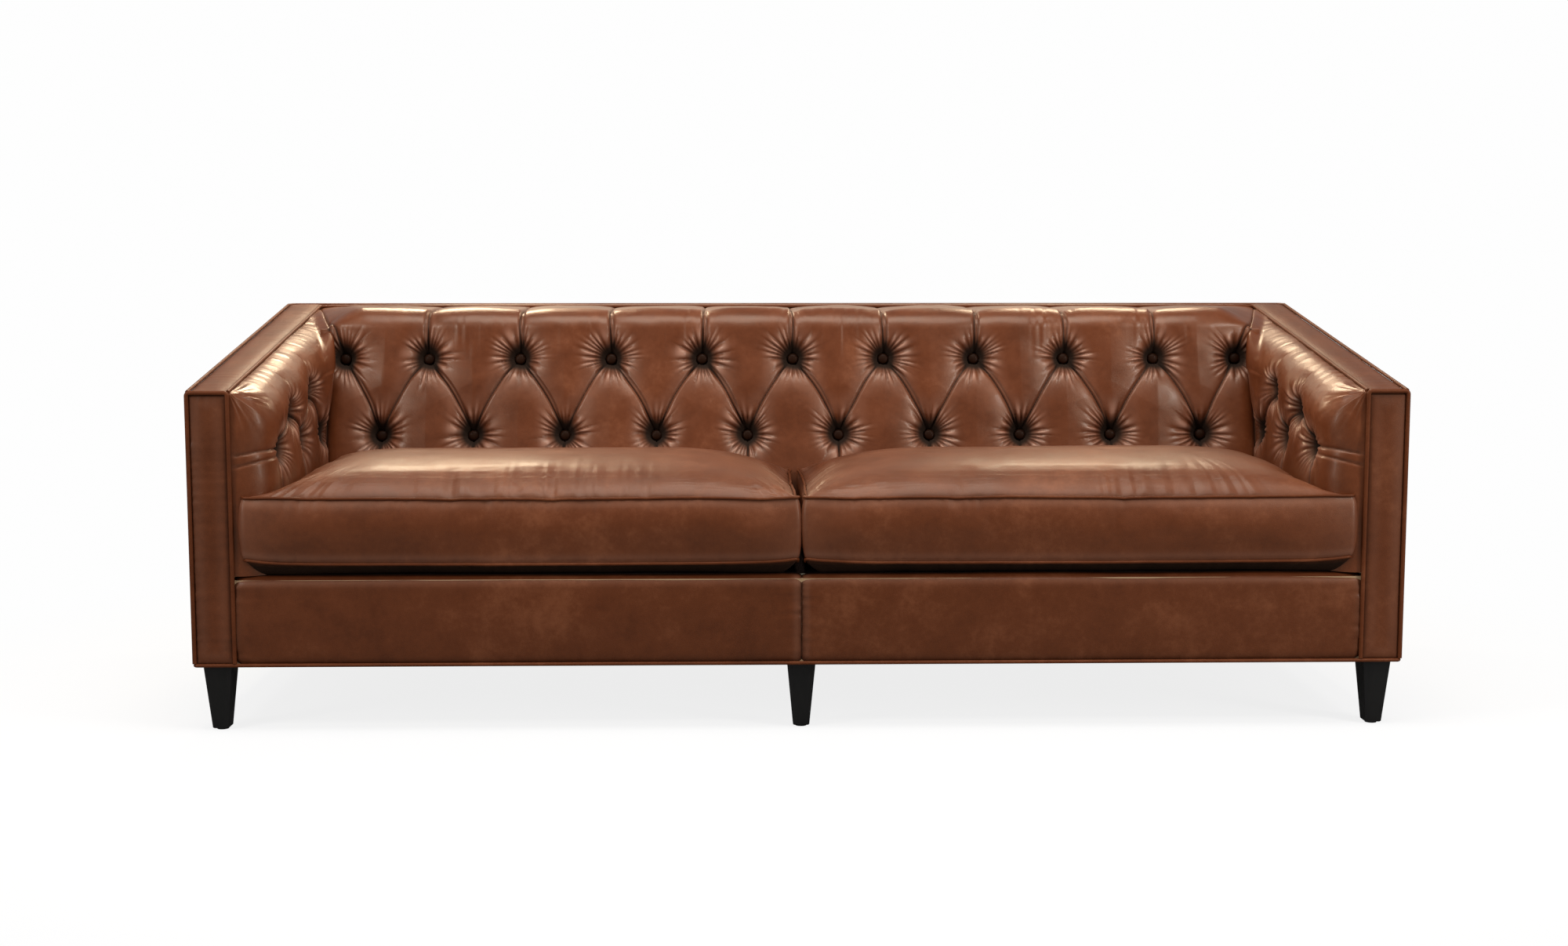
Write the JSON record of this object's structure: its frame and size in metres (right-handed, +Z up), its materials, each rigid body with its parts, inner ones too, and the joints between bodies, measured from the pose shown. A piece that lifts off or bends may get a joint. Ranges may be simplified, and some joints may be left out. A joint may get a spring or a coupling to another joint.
{
  "type": "three-seat sofa",
  "caption": "Leather sofa with arms that slope up to its back, buttoned inside back and arms, loose boxed seat cushions and short tapered legs.",
  "frame": {"origin": "on the floor, in the middle of the sofa's footprint", "axes": "+X to the right of someone who looks at the sofa's front, +Y from its front to its rear, +Z up"},
  "size_m": [2.3, 0.9199, 0.794],
  "materials": {
    "brown_leather": "waxed pull-up leather",
    "seat_leather": "waxed pull-up leather",
    "piping_leather": "waxed pull-up leather",
    "button_leather": "waxed pull-up leather",
    "black_wood": "satin black stain",
    "frame_wood": "sawn hardwood",
    "plywood": "sanded plywood",
    "foam": "polyurethane foam",
    "deck_cloth": "woven deck cloth",
    "hessian": "woven jute",
    "dust_cloth": "spun-bonded cloth",
    "twine": "waxed twine and washers",
    "zip_tape": "woven tape",
    "zip_metal": "antique brass",
    "steel": "oiled spring steel",
    "nylon": "moulded nylon"
  },
  "bodies": {
    "sofa_body": {"arm_boards": "plywood", "arm_buttons": "button_leather", "arm_front_panel_left": "brown_leather", "arm_front_panel_right": "brown_leather", "arm_front_welts": "piping_leather", "arm_posts": "frame_wood", "arm_rails": "frame_wood", "arm_top_panel_left": "brown_leather", "arm_top_panel_right": "brown_leather", "back_board": "plywood", "back_buttons": "button_leather", "back_corner_welts": "piping_leather", "back_rail": "frame_wood", "back_seat_rail": "frame_wood", "back_top_board": "plywood", "back_top_panel": "brown_leather", "back_top_rail": "frame_wood", "back_uprights": "plywood", "bottom_welt": "piping_leather", "button_ties": "twine", "centre_stretcher": "frame_wood", "deck_cover": "deck_cloth", "deck_pad": "foam", "dust_cover": "dust_cloth", "front_panel_left": "brown_leather", "front_panel_right": "brown_leather", "front_rail": "frame_wood", "inside_arm_foams": "foam", "inside_arm_leather_left": "brown_leather", "inside_arm_leather_right": "brown_leather", "inside_back_foam": "foam", "inside_back_leather": "brown_leather", "leg_back_centre": "black_wood", "leg_back_left": "black_wood", "leg_back_right": "black_wood", "leg_blocks": "frame_wood", "leg_fasteners": "steel", "leg_front_centre": "black_wood", "leg_front_left": "black_wood", "leg_front_right": "black_wood", "leg_glides": "nylon", "outside_arm_panel_left": "brown_leather", "outside_arm_panel_right": "brown_leather", "outside_back_panel": "brown_leather", "seat_springs": "steel", "side_rails": "frame_wood", "spring_fittings": "steel", "spring_hessian": "hessian", "top_welts": "piping_leather"},
    "cushion_left": {"cushion_cover_left": "seat_leather", "cushion_core_left": "foam", "cushion_piping_left": "piping_leather", "cushion_zip_left": "zip_tape"},
    "zip_slider_left": {"zip_slider_left": "zip_metal"},
    "cushion_right": {"cushion_cover_right": "seat_leather", "cushion_core_right": "foam", "cushion_piping_right": "piping_leather", "cushion_zip_right": "zip_tape"},
    "zip_slider_right": {"zip_slider_right": "zip_metal"}
  },
  "joints": [
    {"name": "cushion_left_lift", "type": "slide", "parent": "sofa_body", "child": "cushion_left", "axis": [0, 0, 1], "range_m": [0, 0.55]},
    {"name": "zip_left_run", "type": "slide", "parent": "cushion_left", "child": "zip_slider_left", "axis": [1, 0, 0], "range_m": [0, 0.75]},
    {"name": "cushion_right_lift", "type": "slide", "parent": "sofa_body", "child": "cushion_right", "axis": [0, 0, 1], "range_m": [0, 0.55]},
    {"name": "zip_right_run", "type": "slide", "parent": "cushion_right", "child": "zip_slider_right", "axis": [-1, 0, 0], "range_m": [0, 0.75]}
  ]
}
